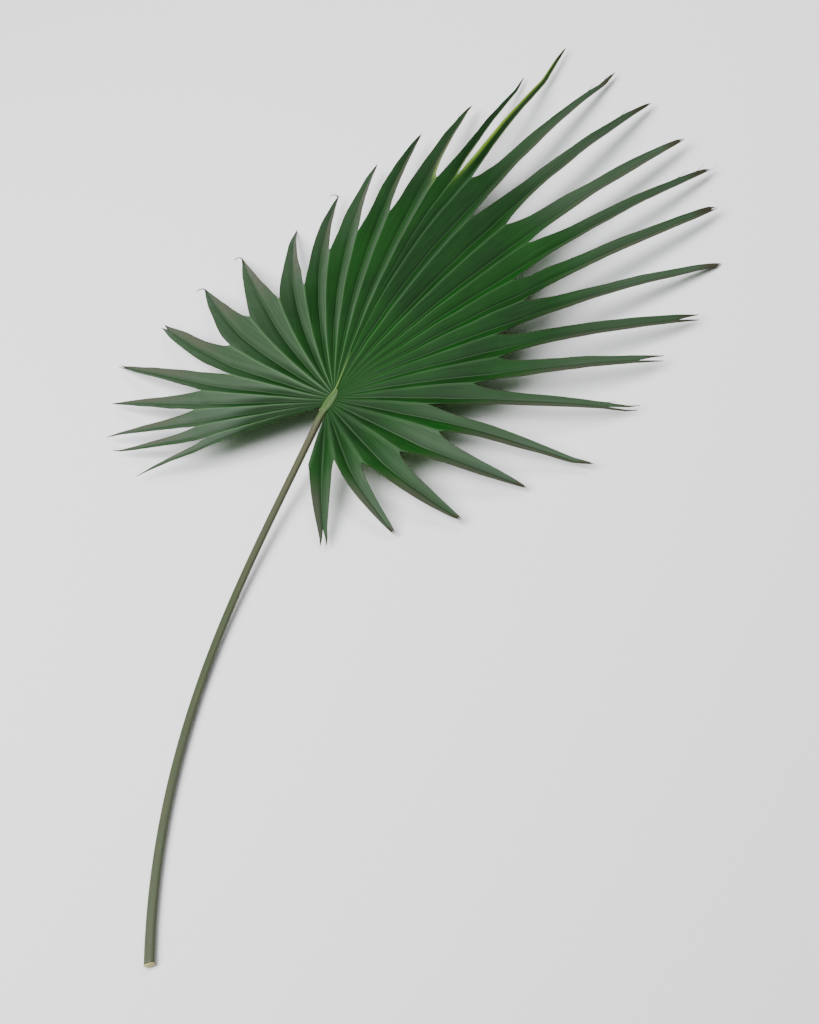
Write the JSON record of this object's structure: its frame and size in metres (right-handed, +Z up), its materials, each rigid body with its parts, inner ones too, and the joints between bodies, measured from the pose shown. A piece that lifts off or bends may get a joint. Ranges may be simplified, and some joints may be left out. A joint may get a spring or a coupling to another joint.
{
  "type": "fan palm leaf",
  "caption": "Picked fan palm leaf lying face up: a pleated green fan with free, tapering segments round its edge, on a long, gently curved olive-green stalk.",
  "frame": {"origin": "under the middle of the leaf's bounding box, on the surface that it lies on", "axes": "+Z up out of the leaf's upper face, +Y from the stalk's cut end to the far tips of the fan, +X to the side that the stalk curves towards"},
  "size_m": [0.8226, 1.5224, 0.0591],
  "materials": {
    "blade_green": "satin",
    "stalk_olive": "satin"
  },
  "bodies": {
    "root": {"fan_blade": "blade_green", "leaf_stalk": "stalk_olive"}
  },
  "joints": []
}
